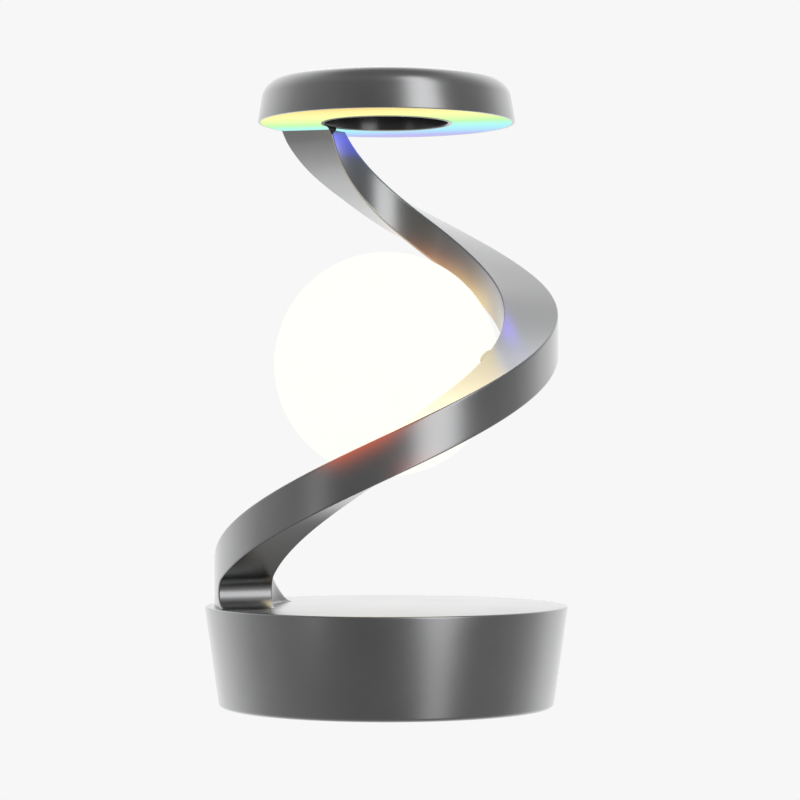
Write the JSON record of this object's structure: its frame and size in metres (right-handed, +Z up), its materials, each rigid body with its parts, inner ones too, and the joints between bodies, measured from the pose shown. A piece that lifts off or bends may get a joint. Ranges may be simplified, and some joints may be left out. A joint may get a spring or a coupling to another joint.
{
  "type": "desk lamp",
  "caption": "Desk lamp with a glowing globe that seems to float inside a spiral ribbon arm, between a weighted round base and a lit ring head.",
  "frame": {"origin": "on the floor, at the centre of the base's underside", "axes": "+Z up along the base's and the globe's common axis, -Y towards the front, +X to the right seen from the front"},
  "size_m": [0.1196, 0.1196, 0.2072],
  "materials": {
    "graphite": "satin graphite anodised",
    "black_plastic": "fine matte",
    "steel": "plated",
    "ballast_steel": "zinc plated",
    "rubber": "matte",
    "foam": "open-cell foam tape",
    "battery_wrap": "shrink wrap",
    "board": "solder mask",
    "wire": "insulated wire",
    "bush_brass": "turned",
    "frame_aluminium": "plain",
    "led": "phosphor dome",
    "ring_light": "frosted, lit from inside in bands of colour",
    "globe_light": "opal, lit from inside",
    "seal": "white silicone",
    "button_metal": "satin"
  },
  "bodies": {
    "stand": {"base_shell": "graphite", "bottom_cover": "black_plastic", "cover_screws": "steel", "foot_ring": "rubber", "ballast_plate": "ballast_steel", "battery_pad": "foam", "battery_pack": "battery_wrap", "main_board": "board", "board_parts": "black_plastic", "board_screws": "steel", "usb_inlet": "steel", "tact_switches": "black_plastic", "base_lead": "wire", "arm_screws": "steel", "arm_channel": "graphite", "arm_cover": "graphite", "arm_harness": "wire", "pivot_bush": "bush_brass", "contact_cap": "black_plastic", "ring_housing": "graphite", "ring_frame": "frame_aluminium", "ring_led_board": "board", "ring_leds": "led", "ring_diffuser": "ring_light", "ring_screws": "steel", "head_bolt": "steel", "head_dowel": "steel"},
    "globe": {"globe_shade": "globe_light", "hub_gasket": "seal", "globe_hub": "globe_light", "globe_led_post": "frame_aluminium", "globe_leds": "led", "pivot_shaft": "steel", "retaining_clip": "steel"},
    "power_key": {"power_button": "button_metal", "power_plunger": "black_plastic"},
    "colour_key": {"colour_button": "button_metal", "colour_plunger": "black_plastic"}
  },
  "joints": [
    {"name": "globe_spin", "type": "hinge", "parent": "stand", "child": "globe", "pos_m": [0, 0, 0.113], "axis": [0.9104, -0.4137, 0], "continuous": true},
    {"name": "power_press", "type": "slide", "parent": "stand", "child": "power_key", "axis": [-0.2588, -0.9659, 0], "range_m": [0, 0.0008], "stiffness_N_per_m": 400, "springref_m": -0.001},
    {"name": "colour_press", "type": "slide", "parent": "stand", "child": "colour_key", "axis": [0.2588, -0.9659, 0], "range_m": [0, 0.0008], "stiffness_N_per_m": 400, "springref_m": -0.001}
  ]
}
